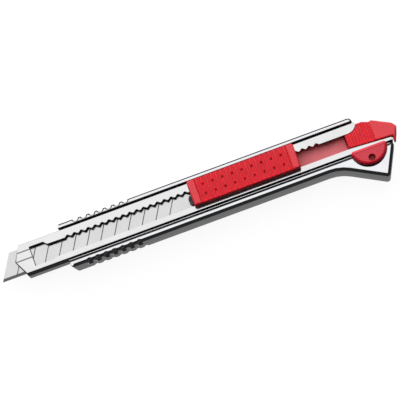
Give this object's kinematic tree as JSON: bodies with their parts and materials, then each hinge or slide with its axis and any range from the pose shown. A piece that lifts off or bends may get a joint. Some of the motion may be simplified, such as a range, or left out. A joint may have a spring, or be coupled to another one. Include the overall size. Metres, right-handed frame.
{
  "type": "snap off knife",
  "caption": "Snap-off utility knife with a cast metal handle, a sliding red grip, a steel blade cartridge with spare blades and a press-button release at its tail.",
  "frame": {"origin": "centre of the knife's bounding box, on the flat plane that its back lies on", "axes": "+X from the blade's tip to the tail, +Y from the cutting edge towards the spine, +Z out of the slider's face"},
  "size_m": [0.1438, 0.024, 0.0129],
  "materials": {
    "handle_metal": "polished die casting, bright with soft dark reflections",
    "case_steel": "bright stainless sheet, fine lengthwise grain",
    "blade_steel": "ground blade steel with a darker bevel",
    "spring_steel": "blued spring steel",
    "dark_steel": "dark oxidised steel",
    "red_plastic": "moulded red plastic, satin gloss",
    "tray_plastic": "duller moulded red plastic"
  },
  "bodies": {
    "handle": {"handle_body": "handle_metal", "button_spring": "spring_steel"},
    "button": {"release_button": "red_plastic", "button_clip": "spring_steel"},
    "cartridge": {"cartridge_case": "case_steel", "nose_block": "case_steel", "nose_guide": "case_steel"},
    "slider": {"slider_grip": "red_plastic", "blade_holder": "dark_steel", "guide_shoe": "case_steel", "lock_spring": "spring_steel", "slider_rivet_front": "case_steel", "slider_rivet_rear": "case_steel", "blade": "blade_steel"},
    "magazine": {"tail_cap": "red_plastic", "magazine_tray": "tray_plastic", "tail_pin": "case_steel", "feed_spring": "spring_steel", "blade_lifter": "case_steel", "spare_blade_1": "blade_steel", "spare_blade_2": "blade_steel", "spare_blade_3": "blade_steel"}
  },
  "joints": [
    {"name": "cartridge_slide", "type": "slide", "parent": "handle", "child": "cartridge", "axis": [1, 0, 0], "range_m": [0, 0.135]},
    {"name": "slider_slide", "type": "slide", "parent": "cartridge", "child": "slider", "axis": [-1, 0, 0], "range_m": [-0.01, 0.055], "deforming": ["lock_spring"]},
    {"name": "magazine_slide", "type": "slide", "parent": "cartridge", "child": "magazine", "axis": [1, 0, 0], "range_m": [0, 0.13]},
    {"name": "button_press", "type": "slide", "parent": "handle", "child": "button", "axis": [0, 0, -1], "range_m": [0, 0.0014], "stiffness_N_per_m": 1400, "springref_m": -0.0004, "deforming": ["button_spring"]}
  ]
}
